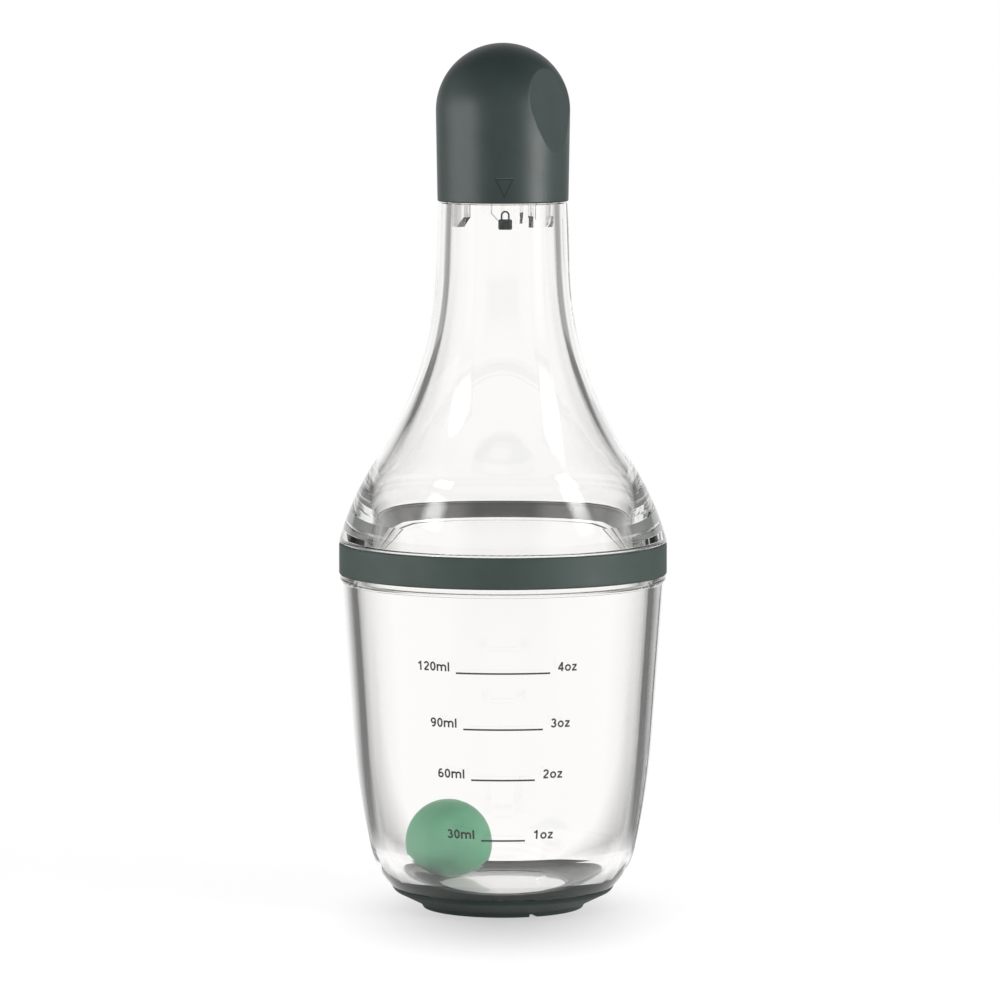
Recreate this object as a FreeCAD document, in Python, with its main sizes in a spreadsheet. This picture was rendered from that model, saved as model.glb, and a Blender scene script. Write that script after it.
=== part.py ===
import FreeCAD, Part
import math
import os
import re

import Sketcher
from FreeCAD import Placement, Rotation, Vector

# Salad dressing shaker bottle, in millimetres.
# The floor is z = 0, the bottle stands on the Z axis and its front faces -Y.

SIZES = {
    # shared clearances
    "cut_overrun": 3.0,
    "seat_gap": 0.1,
    "running_gap": 0.05,
    "motion_gap": 0.3,
    # soft foot under the cup
    "foot_inset": 7.9,
    "foot_overhang": 6.5,
    "foot_ring_width": 2.5,
    "foot_ring_flare": 0.5,
    "foot_ring_height": 0.9,
    "foot_lip_width": 2.8,
    "foot_lip_inset": 1.1,
    "foot_lip_drop": 1.2,
    "foot_lip_round": 2.2,
    "foot_height": 4.5,
    "foot_shelf": 1.9,
    "foot_seat_width": 4.4,
    "foot_vent_width": 1.8,
    "foot_vent_height": 0.6,
    "foot_vent_angle": 292.0,
    # clear measuring cup
    "cup_top_radius": 33.45,
    "cup_taper": 2.35,
    "cup_wall": 2.8,
    "cup_floor": 1.8,
    "cup_corner_round": 16.2,
    "cup_inner_corner_round": 12.4,
    "cup_belly_round": 164.0,
    "cup_belly_height": 36.4,
    "cup_bead": 0.45,
    "cup_bead_height": 1.5,
    "cup_bead_rise": 0.4,
    "cup_bead_round": 0.35,
    "cup_collar_inset": 0.95,
    "cup_collar_wall": 1.3,
    "cup_bore_room": 0.6,
    "cup_bore_step": 0.75,
    # loose mixing ball
    "ball_radius": 9.2,
    "ball_wall_room": 7.08,
    "ball_angle": 163.0,
    # soft band and gasket between cup and bell
    "joint_height": 76.4,
    "band_proud": 0.65,
    "band_height": 6.5,
    "band_lip": 0.9,
    "band_edge_round": 0.4,
    # clear bell and neck
    "bell_flange_proud": 0.1,
    "bell_flange_round": 0.5,
    "bell_shoulder_share": 0.657,
    "bell_inner_shoulder_share": 0.24,
    "bell_flare_share": 0.849,
    "bell_inner_flare_share": 0.84,
    "bell_skirt_gap": 0.9,
    "bell_skirt_wall": 2.0,
    "bell_skirt_depth": 7.8,
    "neck_top_radius": 13.4,
    "neck_wall": 2.7,
    "neck_top_height": 147.0,
    "neck_length": 14.2,
    "neck_taper": 0.45,
    "neck_ledge": 1.9,
    "finish_wall": 1.5,
    "finish_length": 10.0,
    "finish_edge_round": 0.3,
    "stop_rib_width": 0.8,
    "stop_rib_height": 0.4,
    "stop_rib_length": 3.8,
    "stop_rib_angle": 285.0,
    # clear pouring insert in the neck
    "spout_wall": 1.0,
    "spout_leg_length": 4.8,
    "spout_hook": 0.6,
    "spout_gap_start_angle": 345.2,
    "spout_gap_angle": 78.1,
    "spout_leg_chamfer": 2.1,
    "spout_flange": 1.2,
    "spout_cone_step": 0.5,
    "spout_cone_height": 9.2,
    "spout_bore_radius": 3.8,
    "spout_throat_wall": 1.5,
    "spout_mouth_flare": 0.5,
    "spout_lip": 0.9,
    "spout_lip_height": 2.6,
    "spout_lip_round": 0.35,
    "seal_thickness": 0.8,
    # domed cap and its stopper
    "cap_thread_gap": 0.85,
    "cap_wall": 1.22,
    "cap_swell": 0.33,
    "cap_rim_round": 0.35,
    "cap_ceiling": 6.5,
    "cap_ceiling_round": 2.5,
    "cap_stopper_room": 0.4,
    "cap_facet_rise": 10.2,
    "cap_facet_lean": 4.0,
    "cap_facet_angle": 323.0,
    "cap_facet_round": 0.5,
    "cap_spigot_radius": 2.0,
    "stopper_gap": 0.2,
    "stopper_overhang": 0.7,
    "stopper_disc": 2.4,
    "stopper_web": 0.6,
    "stopper_plug_gap": 0.3,
    "stopper_plug_length": 3.2,
    "stopper_edge_round": 0.3,
}

# Sizes and heights that follow from the driving ones
FOLLOWING = {
    "cup_belly_radius": "cup_top_radius - cup_taper",
    "cup_bead_radius": "cup_top_radius + cup_bead",
    "cup_collar_radius": "cup_top_radius - cup_collar_inset",
    "cup_bore_radius": "cup_collar_radius - cup_collar_wall",
    "cup_floor_top": "foot_shelf + cup_floor",
    "cup_ledge": "foot_height + seat_gap",
    "cup_rim": "joint_height - band_lip - seat_gap",
    "cup_bore_bottom": "joint_height - bell_skirt_depth - cup_bore_room",
    "cup_bead_bottom": "band_bottom - cup_bead_height",
    "foot_lip_radius": "cup_belly_radius - foot_inset",
    "foot_ring_radius": "foot_lip_radius - foot_overhang",
    "foot_hole_radius": "foot_ring_radius - foot_ring_width",
    "foot_seat_radius": "foot_lip_radius - foot_lip_width",
    "foot_flat_radius": "foot_seat_radius - foot_seat_width",
    "ball_reach": "cup_belly_radius - cup_wall - ball_radius - ball_wall_room",
    "band_radius": "cup_top_radius + band_proud",
    "band_bottom": "joint_height - band_height",
    "band_lip_bottom": "joint_height - band_lip",
    "bell_flange_radius": "band_radius + bell_flange_proud",
    "bell_skirt_radius": "cup_bore_radius - bell_skirt_gap",
    "bell_skirt_bore_radius": "bell_skirt_radius - bell_skirt_wall",
    "bell_skirt_bottom": "joint_height - bell_skirt_depth",
    "bell_rise": "neck_knee_height - joint_height",
    "bell_spread": "bell_flange_radius - neck_knee_radius",
    "bell_curve": "(bell_rise ^ 2 + bell_spread ^ 2) / (2 * bell_spread)",
    "bell_shoulder_round": "bell_curve * bell_shoulder_share",
    "bell_inner_shoulder_round": "bell_curve * bell_inner_shoulder_share",
    "bell_flare_round": "bell_curve * bell_flare_share",
    "bell_inner_flare_round": "bell_curve * bell_inner_flare_share",
    "neck_knee_radius": "neck_top_radius + neck_taper",
    "neck_knee_height": "neck_top_height - neck_length",
    "finish_radius": "neck_top_radius - neck_ledge",
    "finish_bore_radius": "finish_radius - finish_wall",
    "finish_top": "neck_top_height + finish_length",
    "spout_tube_radius": "finish_bore_radius - seat_gap",
    "spout_tube_bore_radius": "spout_tube_radius - spout_wall",
    "spout_hook_radius": "spout_tube_radius + spout_hook",
    "spout_leg_bottom": "neck_top_height - spout_leg_length",
    "spout_hook_top": "neck_top_height - motion_gap",
    "spout_flange_radius": "finish_radius - seat_gap",
    "spout_flange_bottom": "finish_top + seal_thickness",
    "spout_flange_top": "spout_flange_bottom + spout_flange",
    "spout_cone_radius": "spout_tube_radius - spout_cone_step",
    "spout_throat_height": "spout_flange_top + spout_cone_height",
    "spout_throat_radius": "spout_bore_radius + spout_throat_wall",
    "spout_mouth_radius": "spout_bore_radius + spout_mouth_flare",
    "spout_lip_radius": "spout_throat_radius + spout_lip",
    "spout_top": "spout_throat_height + spout_lip_height",
    "spout_cut_reach": "2 * spout_hook_radius",
    "cap_bore_radius": "finish_radius + cap_thread_gap",
    "cap_rim_radius": "cap_bore_radius + cap_wall",
    "cap_dome_radius": "cap_rim_radius + cap_swell",
    "cap_upper_bore_radius": "stopper_radius + cap_stopper_room + cap_ceiling_round",
    "cap_rim": "neck_top_height + motion_gap",
    "cap_step": "spout_flange_top + 2 * motion_gap",
    "cap_ceiling_height": "stopper_top + seat_gap",
    "cap_top": "cap_ceiling_height + cap_ceiling",
    "cap_dome_height": "cap_top - cap_dome_radius",
    "cap_side_height": "cap_dome_height - cap_rim",
    "cap_facet_foot_height": "cap_rim + cap_facet_rise",
    "cap_facet_foot_radius": "cap_rim_radius + cap_swell * cap_facet_rise / cap_side_height",
    "cap_spigot_bottom": "cap_ceiling_height - stopper_disc + stopper_web",
    "stopper_disc_bottom": "spout_top + stopper_gap",
    "stopper_top": "stopper_disc_bottom + stopper_disc",
    "stopper_radius": "spout_lip_radius + stopper_overhang",
    "stopper_plug_radius": "spout_bore_radius - stopper_plug_gap",
    "stopper_plug_bottom": "stopper_disc_bottom - stopper_plug_length",
    "stopper_hole_bottom": "cap_spigot_bottom - seat_gap",
    "stopper_hole_radius": "cap_spigot_radius + running_gap",
}

# counts and full turn
VENT_COUNT = 3
LEG_COUNT = 3
FACET_COUNT = 2
FULL_TURN = 360.0
QUARTER_TURN = 90.0

LEFT_TURN = 1
RIGHT_TURN = -1

UP = Vector(0, 0, 1)
EDGE_MATCH_SHARE = 0.1

# How a sketch numbers its own axes and the ends of a line
ACROSS_AXIS, UPRIGHT_AXIS = range(-1, -3, -1)
START, END = range(1, 3)


def make_sheet(document):
    """Driving dimensions as a spreadsheet, one alias per row."""
    cells = document.addObject("Spreadsheet::Sheet", "Sizes")
    for row, (alias, value) in enumerate(SIZES.items(), start=1):
        cells.set(f"A{row}", alias)
        cells.set(f"B{row}", str(value))
        cells.setAlias(f"B{row}", alias)
    document.recompute()
    return cells


doc = FreeCAD.newDocument("dressing_shaker")
sheet = make_sheet(doc)


def bound(text):
    """An expression in size names, as the document writes it."""
    def spell(match):
        name = match.group()
        if name in FOLLOWING:
            return "(" + bound(FOLLOWING[name]) + ")"
        return "Sizes." + name if name in SIZES else name
    return re.sub(r"[a-z_]+", spell, text)


def size(text):
    """The present value of an expression in size names."""
    return float(sheet.evalExpression(bound(text)))


class Corner:
    """A corner of an outline: its radius and height, each an expression or None where it is left free.

    The stretch that leaves the corner is straight, or an arc of the given round and turn.
    A smooth corner makes the stretches on both sides of it tangent.
    """

    def __init__(self, radius, height, arc=None, turn=LEFT_TURN, smooth=False, guess=None):
        self.radius = radius
        self.height = height
        self.arc = arc
        self.turn = turn
        self.smooth = smooth
        self.guess = guess

    def point(self):
        if self.guess is not None:
            return self.guess
        return Vector(size(self.radius), size(self.height), 0)


def arc_between(start, end, radius, turn):
    """The shorter arc from start to end that turns the given way."""
    chord = end - start
    middle = (start + end) / 2
    side = Vector(-chord.y, chord.x, 0).normalize() * turn
    centre = middle + side * math.sqrt(max(radius ** 2 - (chord.Length / 2) ** 2, 0))
    first, last = (start, end) if turn == LEFT_TURN else (end, start)
    angles = [math.atan2(p.y - centre.y, p.x - centre.x) for p in (first, last)]
    return Part.ArcOfCircle(Part.Circle(centre, UP, radius), *angles)


def tie(sketch, kind, geometry, position, expression):
    """Hold one coordinate of a point of the sketch to an expression."""
    axis = UPRIGHT_AXIS if kind == "DistanceX" else ACROSS_AXIS
    if expression == "0":
        sketch.addConstraint(Sketcher.Constraint("PointOnObject", geometry, position, axis))
        return
    place = (ACROSS_AXIS, START, geometry, position)
    index = sketch.addConstraint(Sketcher.Constraint(kind, *place, size(expression)))
    sketch.setExpression(f"Constraints[{index}]", bound(expression))


def draw_outline(sketch, corners):
    """Closed outline through the corners, fully held by the sheet."""
    count = len(corners)
    ends = []
    for index, corner in enumerate(corners):
        start = corner.point()
        end = corners[(index + 1) % count].point()
        if corner.arc is None:
            sketch.addGeometry(Part.LineSegment(start, end), False)
            ends.append((START, END))
        else:
            sketch.addGeometry(arc_between(start, end, size(corner.arc), corner.turn), False)
            ends.append((START, END) if corner.turn == LEFT_TURN else (END, START))
    for index, corner in enumerate(corners):
        before = (index - 1) % count
        kind = "Tangent" if corner.smooth else "Coincident"
        sketch.addConstraint(Sketcher.Constraint(kind, before, ends[before][1], index, ends[index][0]))
        if corner.radius is not None:
            tie(sketch, "DistanceX", index, ends[index][0], corner.radius)
        if corner.height is not None:
            tie(sketch, "DistanceY", index, ends[index][0], corner.height)
        if corner.arc is not None:
            number = sketch.addConstraint(Sketcher.Constraint("Radius", index, size(corner.arc)))
            sketch.setExpression(f"Constraints[{number}]", bound(corner.arc))


def new_body(label):
    body = doc.addObject("PartDesign::Body", label)
    body.Label = label
    return body


def plane_of(body, role):
    return next(item for item in body.Origin.OriginFeatures if item.Role == role)


def new_sketch(body, name, role, offset=None):
    """A sketch on one of the body's own origin planes."""
    sketch = body.newObject("Sketcher::SketchObject", name)
    sketch.AttachmentSupport = (plane_of(body, role), [""])
    sketch.MapMode = "FlatFace"
    if offset is not None:
        sketch.AttachmentOffset = offset
    return sketch


def turn_profile(body, name, corners, kind="Revolution"):
    """A full turn of an outline about the bottle's axis, added or cut away."""
    sketch = new_sketch(body, name + "_profile", "XZ_Plane")
    draw_outline(sketch, corners)
    feature = body.newObject("PartDesign::" + kind, name)
    feature.Profile = sketch
    feature.ReferenceAxis = (sketch, ["V_Axis"])
    feature.Angle = FULL_TURN
    doc.recompute()
    return feature


def ring_edges(feature, *places):
    """Names of the circular edges about the axis at the given radii and heights."""
    tolerance = size("running_gap") * EDGE_MATCH_SHARE
    wanted = [(size(radius), size(height)) for radius, height in places]
    names = []
    for number, edge in enumerate(feature.Shape.Edges, start=1):
        if edge.Degenerated or not isinstance(edge.Curve, Part.Circle):
            continue
        centre = edge.Curve.Center
        for radius, height in wanted:
            if abs(edge.Curve.Radius - radius) < tolerance and abs(centre.z - height) < tolerance:
                names.append(f"Edge{number}")
    return names


def leaning_face_edges(feature):
    """Names of the edges round the flat faces that are neither upright nor level."""
    names = []
    for number, edge in enumerate(feature.Shape.Edges, start=1):
        if edge.Degenerated:
            continue
        for face in feature.Shape.ancestorsOfType(edge, Part.Face):
            if isinstance(face.Surface, Part.Plane) and 0 < abs(round(face.Surface.Axis.z, 3)) < 1:
                names.append(f"Edge{number}")
    return names


def round_edges(body, name, base, names, radius):
    """Fillet of the named edges, with its radius bound to the sheet."""
    if not names:
        raise RuntimeError(f"{name}: no edge to round")
    fillet = body.newObject("PartDesign::Fillet", name)
    fillet.Base = (base, names)
    fillet.setExpression("Radius", bound(radius))
    doc.recompute()
    return fillet


def repeat_about_axis(body, name, features, count):
    """Copies of features spread evenly about the bottle's axis."""
    pattern = body.newObject("PartDesign::PolarPattern", name)
    pattern.Originals = features
    pattern.Axis = (plane_of(body, "Z_Axis"), [""])
    pattern.Angle = FULL_TURN
    pattern.Occurrences = count
    body.Tip = pattern
    doc.recompute()
    return pattern


def cut_through(body, name, sketch, length, midplane=False, reverse=False):
    """Pocket of the given length, which must take material away."""
    before = body.Shape.Volume
    pocket = body.newObject("PartDesign::Pocket", name)
    pocket.Profile = sketch
    pocket.setExpression("Length", bound(length))
    pocket.Midplane = midplane
    pocket.Reversed = reverse
    doc.recompute()
    if not body.Shape.Volume < before:
        raise RuntimeError(f"{name} cuts nothing")
    return pocket


def turned_upright(angle):
    """Offset that turns an upright sketch plane about the bottle's axis."""
    return Placement(Vector(), Rotation(Vector(0, 1, 0), angle))


def unit(vector):
    return Vector(vector).normalize()


def circle_meeting(first, first_radius, second, second_radius):
    """The two points that lie at the given distances from two points."""
    gap = second - first
    along = (first_radius ** 2 - second_radius ** 2 + gap.Length ** 2) / (2 * gap.Length)
    across = math.sqrt(max(first_radius ** 2 - along ** 2, 0))
    direction = unit(gap)
    side = Vector(-direction.y, direction.x, 0)
    foot = first + direction * along
    return foot + side * across, foot - side * across


def make_foot():
    """Soft ring foot: ground ring, sloping underside, rounded lip and a seat for the cup."""
    body = new_body("base_foot")
    turn_profile(body, "foot_ring", [
        Corner("foot_hole_radius", "0"),
        Corner("foot_ring_radius", "0"),
        Corner("foot_ring_radius + foot_ring_flare", "foot_ring_height"),
        Corner("foot_lip_radius - foot_lip_inset", "foot_height - foot_lip_drop", arc="foot_lip_round"),
        Corner("foot_lip_radius", "foot_height"),
        Corner("foot_seat_radius", "foot_height"),
        Corner("foot_flat_radius", "foot_shelf"),
        Corner("foot_hole_radius", "foot_shelf"),
    ])
    offset = Placement(Vector(), Rotation(UP, size("foot_vent_angle")))
    sketch = new_sketch(body, "vent_outline", "XY_Plane", offset)
    draw_box(sketch, "foot_hole_radius - cut_overrun", "foot_ring_radius + cut_overrun", "foot_vent_width")
    vent = cut_through(body, "vent", sketch, "foot_vent_height", reverse=True)
    repeat_about_axis(body, "vents", [vent], VENT_COUNT)
    return body


def draw_box(sketch, near_size, far_size, width_size):
    """Rectangle along the sketch's X axis, centred on that axis."""
    near = size(near_size)
    far = size(far_size)
    half = size(width_size) / 2
    points = [Vector(near, -half, 0), Vector(far, -half, 0), Vector(far, half, 0), Vector(near, half, 0)]
    for index, point in enumerate(points):
        sketch.addGeometry(Part.LineSegment(point, points[(index + 1) % len(points)]), False)
    for index in range(len(points)):
        following = (index + 1) % len(points)
        sketch.addConstraint(Sketcher.Constraint("Coincident", index, END, following, START))
    for index in (0, 2):
        sketch.addConstraint(Sketcher.Constraint("Horizontal", index))
    sketch.addConstraint(Sketcher.Constraint("Vertical", 3))
    sketch.addConstraint(Sketcher.Constraint("Symmetric", 1, START, 1, END, ACROSS_AXIS))
    tie(sketch, "DistanceX", 0, START, near_size)
    tie(sketch, "DistanceX", 0, END, far_size)
    number = sketch.addConstraint(Sketcher.Constraint("DistanceY", 1, START, 1, END, half * 2))
    sketch.setExpression(f"Constraints[{number}]", bound(width_size))


def make_cup():
    """Clear cup: tapered wall, round belly and corner, bead under the collar and a bore for the skirt."""
    body = new_body("lower_cup")

    # Where the belly and corner arcs of the outside meet
    belly = Vector(size("cup_belly_radius"), size("cup_belly_height"), 0)
    wall_top = Vector(size("cup_top_radius"), size("cup_bead_bottom"), 0)
    wall = unit(wall_top - belly)
    belly_round = size("cup_belly_round")
    corner_round = size("cup_corner_round")
    belly_centre = belly + Vector(-wall.y, wall.x, 0) * belly_round
    ledge_corner = Vector(size("foot_lip_radius"), size("cup_ledge"), 0)
    corner_centre = max(circle_meeting(belly_centre, belly_round - corner_round, ledge_corner, corner_round),
                        key=lambda point: point.y)
    outer_meeting = belly_centre + unit(corner_centre - belly_centre) * belly_round

    turn_profile(body, "cup_outside", [
        Corner("0", "foot_shelf"),
        Corner("foot_flat_radius - seat_gap", "foot_shelf"),
        Corner("foot_seat_radius - seat_gap", "foot_height"),
        Corner("foot_seat_radius - seat_gap", "cup_ledge"),
        Corner("foot_lip_radius", "cup_ledge", arc="cup_corner_round"),
        Corner(None, None, arc="cup_belly_round", smooth=True, guess=outer_meeting),
        Corner("cup_belly_radius", "cup_belly_height", smooth=True),
        Corner("cup_top_radius", "cup_bead_bottom"),
        Corner("cup_bead_radius", "cup_bead_bottom + cup_bead_rise"),
        Corner("cup_bead_radius", "band_bottom"),
        Corner("cup_collar_radius", "band_bottom"),
        Corner("cup_collar_radius", "cup_rim"),
        Corner("0", "cup_rim"),
    ])

    # Where the belly, corner and floor of the inside meet
    inner_belly = "cup_belly_radius - cup_wall"
    inner_round = "cup_belly_round - cup_wall"
    waist = Vector(size(inner_belly), size("cup_belly_height"), 0)
    inner_top = Vector(size("cup_bore_radius - cup_bore_step"), size("cup_bore_bottom"), 0)
    inner_wall = unit(inner_top - waist)
    inner_centre = waist + Vector(-inner_wall.y, inner_wall.x, 0) * size(inner_round)
    corner = size("cup_inner_corner_round")
    rise = size("cup_floor_top") + corner - inner_centre.y
    reach = inner_centre.x + math.sqrt((size(inner_round) - corner) ** 2 - rise ** 2)
    floor_meeting = Vector(reach, size("cup_floor_top"), 0)
    corner_middle = Vector(reach, size("cup_floor_top") + corner, 0)
    inner_meeting = inner_centre + unit(corner_middle - inner_centre) * size(inner_round)

    hollow = turn_profile(body, "cup_inside", [
        Corner("0", "cup_floor_top"),
        Corner(None, "cup_floor_top", arc="cup_inner_corner_round", smooth=True, guess=floor_meeting),
        Corner(None, None, arc=inner_round, smooth=True, guess=inner_meeting),
        Corner(inner_belly, "cup_belly_height", smooth=True),
        Corner("cup_bore_radius - cup_bore_step", "cup_bore_bottom"),
        Corner("cup_bore_radius", "cup_bore_bottom"),
        Corner("cup_bore_radius", "cup_rim + cut_overrun"),
        Corner("0", "cup_rim + cut_overrun"),
    ], kind="Groove")
    edges = ring_edges(hollow, ("cup_bead_radius", "cup_bead_bottom + cup_bead_rise"))
    round_edges(body, "bead_round", hollow, edges, "cup_bead_round")
    return body


def make_ball():
    """Loose ball on the floor of the cup."""
    ball = doc.addObject("Part::Sphere", "mixing_ball")
    ball.Label = "mixing_ball"
    ball.setExpression("Radius", bound("ball_radius"))
    ball.setExpression("Placement.Base.x", bound("ball_reach * cos(ball_angle * 1 deg)"))
    ball.setExpression("Placement.Base.y", bound("ball_reach * sin(ball_angle * 1 deg)"))
    ball.setExpression("Placement.Base.z", bound("cup_floor_top + ball_radius + seat_gap"))
    doc.recompute()
    return ball


def make_band():
    """Soft band round the rim of the cup, with a gasket lip that lies over the rim."""
    body = new_body("collar_band")
    ring = turn_profile(body, "band_ring", [
        Corner("cup_collar_radius + seat_gap", "band_bottom"),
        Corner("band_radius", "band_bottom"),
        Corner("band_radius", "joint_height"),
        Corner("bell_skirt_radius + motion_gap", "joint_height"),
        Corner("bell_skirt_radius + motion_gap", "band_lip_bottom"),
        Corner("cup_collar_radius + seat_gap", "band_lip_bottom"),
    ])
    edges = ring_edges(ring, ("band_radius", "band_bottom"), ("band_radius", "joint_height"))
    round_edges(body, "band_edges", ring, edges, "band_edge_round")
    return body


def make_bell():
    """Clear bell: flange and skirt at the joint, flowing shoulder, neck and the finish under the cap."""
    body = new_body("upper_bell")

    # Where the shoulder and the flare of the outside meet
    knee = Vector(size("neck_knee_radius"), size("neck_knee_height"), 0)
    neck_top = Vector(size("neck_top_radius"), size("neck_top_height"), 0)
    neck = unit(neck_top - knee)
    flare_round = size("bell_flare_round")
    shoulder_round = size("bell_shoulder_round")
    flare_centre = knee + Vector(neck.y, -neck.x, 0) * flare_round
    flange = Vector(size("bell_flange_radius"), size("joint_height"), 0)
    shoulder_centre = min(circle_meeting(flare_centre, flare_round + shoulder_round, flange, shoulder_round),
                          key=lambda point: point.x)
    outer_meeting = flare_centre + unit(shoulder_centre - flare_centre) * flare_round

    turn_profile(body, "bell_outside", [
        Corner("0", "bell_skirt_bottom"),
        Corner("bell_skirt_radius", "bell_skirt_bottom"),
        Corner("bell_skirt_radius", "joint_height"),
        Corner("bell_flange_radius", "joint_height", arc="bell_shoulder_round"),
        Corner(None, None, arc="bell_flare_round", turn=RIGHT_TURN, smooth=True, guess=outer_meeting),
        Corner("neck_knee_radius", "neck_knee_height", smooth=True),
        Corner("neck_top_radius", "neck_top_height"),
        Corner("finish_radius", "neck_top_height"),
        Corner("finish_radius", "finish_top"),
        Corner("0", "finish_top"),
    ])

    # Where the skirt bore, the shoulder and the flare of the inside meet
    inner_knee = Vector(size("neck_knee_radius - neck_wall"), size("neck_knee_height"), 0)
    inner_top = Vector(size("neck_top_radius - neck_wall"), size("neck_top_height"), 0)
    inner_neck = unit(inner_top - inner_knee)
    inner_centre = inner_knee + Vector(inner_neck.y, -inner_neck.x, 0) * size("bell_inner_flare_round")
    inner_shoulder = size("bell_inner_shoulder_round")
    middle_radius = size("bell_skirt_bore_radius") - inner_shoulder
    both = size("bell_inner_flare_round") + inner_shoulder
    drop = math.sqrt(both ** 2 - (inner_centre.x - middle_radius) ** 2)
    inner_middle = Vector(middle_radius, inner_centre.y - drop, 0)
    bore_meeting = Vector(size("bell_skirt_bore_radius"), inner_middle.y, 0)
    inner_meeting = inner_centre + unit(inner_middle - inner_centre) * size("bell_inner_flare_round")

    hollow = turn_profile(body, "bell_inside", [
        Corner("0", "bell_skirt_bottom - cut_overrun"),
        Corner("bell_skirt_bore_radius", "bell_skirt_bottom - cut_overrun"),
        Corner("bell_skirt_bore_radius", None, arc="bell_inner_shoulder_round", smooth=True,
               guess=bore_meeting),
        Corner(None, None, arc="bell_inner_flare_round", turn=RIGHT_TURN, smooth=True, guess=inner_meeting),
        Corner("neck_knee_radius - neck_wall", "neck_knee_height", smooth=True),
        Corner("neck_top_radius - neck_wall", "neck_top_height"),
        Corner("finish_bore_radius", "neck_top_height"),
        Corner("finish_bore_radius", "finish_top + cut_overrun"),
        Corner("0", "finish_top + cut_overrun"),
    ], kind="Groove")
    edges = ring_edges(hollow, ("bell_flange_radius", "joint_height"))
    flange_round = round_edges(body, "flange_round", hollow, edges, "bell_flange_round")
    edges = ring_edges(flange_round, ("finish_radius", "finish_top"))
    round_edges(body, "finish_round", flange_round, edges, "finish_edge_round")

    # Thin upright ribs that stop the pouring insert from turning
    offset = Placement(Vector(), Rotation(UP, size("stop_rib_angle")))
    sketch = new_sketch(body, "stop_rib_outline", "XY_Plane", offset)
    sketch.setExpression("AttachmentOffset.Base.z", bound("neck_top_height"))
    near = "neck_top_radius - neck_wall - stop_rib_height"
    far = "neck_top_radius - neck_wall / 2"
    draw_box(sketch, near, far, "stop_rib_width")
    rib = body.newObject("PartDesign::Pad", "stop_rib")
    rib.Profile = sketch
    rib.Reversed = True
    rib.setExpression("Length", bound("stop_rib_length"))
    doc.recompute()
    repeat_about_axis(body, "stop_ribs", [rib], LEG_COUNT)
    return body


def make_spout():
    """Clear pouring insert: hooked legs below the finish, a flange on the seal and a drip lip."""
    body = new_body("pour_spout")
    turned = turn_profile(body, "spout_turned", [
        Corner("spout_tube_bore_radius", "spout_leg_bottom"),
        Corner("spout_hook_radius", "spout_leg_bottom"),
        Corner("spout_hook_radius", "spout_hook_top"),
        Corner("spout_tube_radius", "spout_hook_top"),
        Corner("spout_tube_radius", "spout_flange_bottom"),
        Corner("spout_flange_radius", "spout_flange_bottom"),
        Corner("spout_flange_radius", "spout_flange_top"),
        Corner("spout_cone_radius", "spout_flange_top"),
        Corner("spout_throat_radius", "spout_throat_height"),
        Corner("spout_lip_radius", "spout_top"),
        Corner("spout_mouth_radius", "spout_top"),
        Corner("spout_bore_radius", "spout_throat_height"),
        Corner("spout_tube_bore_radius", "spout_flange_bottom"),
    ])
    edges = ring_edges(turned, ("spout_lip_radius", "spout_top"))
    round_edges(body, "lip_round", turned, edges, "spout_lip_round")

    # The gap between two legs, as a sector below the finish
    offset = Placement(Vector(), Rotation(UP, size("spout_gap_start_angle")))
    sketch = new_sketch(body, "leg_gap_outline", "XY_Plane", offset)
    sketch.setExpression("AttachmentOffset.Base.z", bound("neck_top_height"))
    draw_sector(sketch, "spout_cut_reach", "spout_gap_angle")
    gap = cut_through(body, "leg_gap", sketch, "spout_leg_length + cut_overrun")

    # The lead-in chamfer at the lower corner of a leg, drawn on the upright plane that faces the leg's end
    leg_end = size("spout_gap_start_angle") - QUARTER_TURN
    sketch = new_sketch(body, "leg_chamfer_outline", "XZ_Plane", turned_upright(leg_end))
    draw_outline(sketch, [
        Corner("spout_leg_chamfer", "spout_leg_bottom - cut_overrun"),
        Corner("spout_leg_chamfer", "spout_leg_bottom"),
        Corner("0", "spout_leg_bottom + spout_leg_chamfer"),
        Corner("0", "spout_leg_bottom - cut_overrun"),
    ])
    chamfer = cut_through(body, "leg_chamfer", sketch, "spout_cut_reach")
    repeat_about_axis(body, "legs", [gap, chamfer], LEG_COUNT)
    return body


def draw_sector(sketch, reach_size, angle_size):
    """Triangle from the axis that covers a sector, from the sketch's X axis round by the named angle."""
    reach = size(reach_size)
    angle = math.radians(size(angle_size))
    points = [Vector(), Vector(reach, 0, 0), Vector(math.cos(angle), math.sin(angle), 0) * reach]
    for index, point in enumerate(points):
        sketch.addGeometry(Part.LineSegment(point, points[(index + 1) % len(points)]), False)
    for index in range(len(points)):
        following = (index + 1) % len(points)
        sketch.addConstraint(Sketcher.Constraint("Coincident", index, END, following, START))
    sketch.addConstraint(Sketcher.Constraint("Coincident", 0, START, ACROSS_AXIS, START))
    sketch.addConstraint(Sketcher.Constraint("Horizontal", 0))
    tie(sketch, "DistanceX", 0, END, reach_size)
    sketch.addConstraint(Sketcher.Constraint("Equal", 0, 2))
    number = sketch.addConstraint(Sketcher.Constraint("Angle", 0, START, 2, END, angle))
    sketch.setExpression(f"Constraints[{number}]", bound(angle_size) + " * 1 deg")


def make_seal():
    """Soft washer between the flange of the insert and the top of the neck."""
    body = new_body("spout_seal")
    turn_profile(body, "seal_ring", [
        Corner("finish_bore_radius + seat_gap", "finish_top"),
        Corner("spout_flange_radius", "finish_top"),
        Corner("spout_flange_radius", "spout_flange_bottom"),
        Corner("finish_bore_radius + seat_gap", "spout_flange_bottom"),
    ])
    return body


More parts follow.
